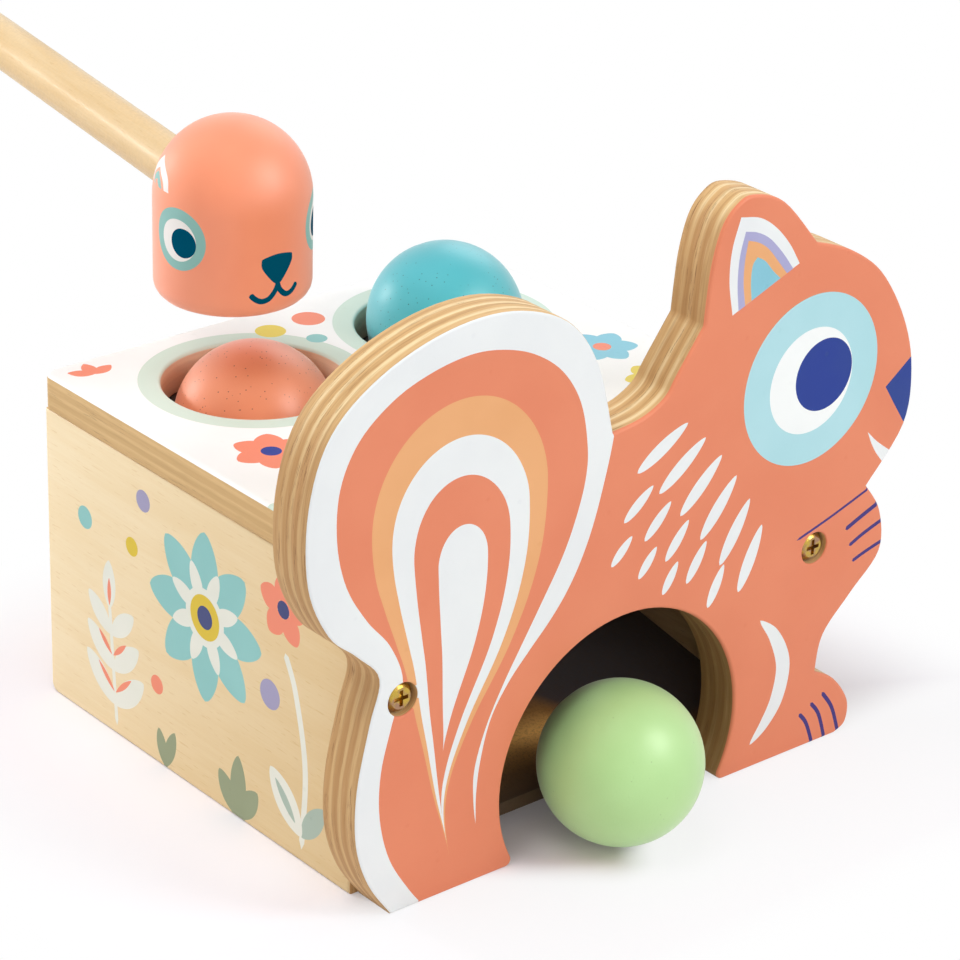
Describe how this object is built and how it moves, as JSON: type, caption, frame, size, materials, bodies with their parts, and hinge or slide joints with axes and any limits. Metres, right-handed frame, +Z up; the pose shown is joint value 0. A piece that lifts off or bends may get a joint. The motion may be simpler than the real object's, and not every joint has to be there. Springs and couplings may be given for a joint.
{
  "type": "ball pounding toy",
  "caption": "Plywood pound-a-ball toy: a box with a squirrel-shaped front, balls gripped in top holes, a ramp inside that rolls them out of a front arch, and a hammer.",
  "frame": {"origin": "on the floor, under the middle of the whole set's bounding box (box, rolled-out ball and raised hammer)", "axes": "+Z up, +Y from the squirrel-shaped front panel to the back of the box, +X to the right as seen from the front"},
  "size_m": [0.2218, 0.3345, 0.1865],
  "materials": {
    "front_paint": "satin painted face, bare plywood edge",
    "side_ply": "clear satin varnish",
    "back_ply": "clear satin varnish",
    "top_print": "satin printed face, bare plywood edge",
    "inner_ply": "bare wood",
    "ring_rubber": "matte",
    "ramp_ply": "bare wood",
    "zinc_screw": "yellow zinc plated steel",
    "dowel_wood": "bare wood",
    "plain_screw": "zinc plated",
    "coral_paint": "satin paint",
    "turquoise_paint": "satin paint",
    "green_paint": "satin paint",
    "head_paint": "satin paint",
    "handle_wood": "clear gloss varnish"
  },
  "bodies": {
    "box": {"front_panel": "front_paint", "left_side_panel": "side_ply", "right_side_panel": "side_ply", "back_panel": "back_ply", "top_board": "top_print", "ring_retainer": "inner_ply", "grip_ring_left": "ring_rubber", "grip_ring_right": "ring_rubber", "grip_ring_front": "ring_rubber", "ramp_board": "ramp_ply", "left_ramp_cleat": "inner_ply", "right_ramp_cleat": "inner_ply", "front_screws": "zinc_screw", "front_dowels": "dowel_wood", "top_dowels": "dowel_wood", "back_pins": "dowel_wood", "retainer_screws": "plain_screw"},
    "coral_ball": {"coral_ball": "coral_paint"},
    "turquoise_ball": {"turquoise_ball": "turquoise_paint"},
    "green_ball": {"green_ball": "green_paint"},
    "hammer": {"hammer_head": "head_paint", "hammer_handle": "handle_wood"}
  },
  "joints": [
    {"name": "coral_ball_drop", "type": "slide", "parent": "box", "child": "coral_ball", "axis": [0, 0, -1], "range_m": [0, 0.0381], "deforming": ["grip_ring_left"]},
    {"name": "turquoise_ball_drop", "type": "slide", "parent": "box", "child": "turquoise_ball", "axis": [0, 0, -1], "range_m": [0, 0.0525], "deforming": ["grip_ring_right"]},
    {"name": "green_ball_roll", "type": "slide", "parent": "box", "child": "green_ball", "axis": [0, -1, 0], "range_m": [0, 0.15]},
    {"name": "hammer_swing", "type": "hinge", "parent": "box", "child": "hammer", "pos_m": [-0.01855, 0.14197, 0.1596], "axis": [-0.9885, 0.1513, 0], "range_deg": [-5.7, 50]}
  ]
}
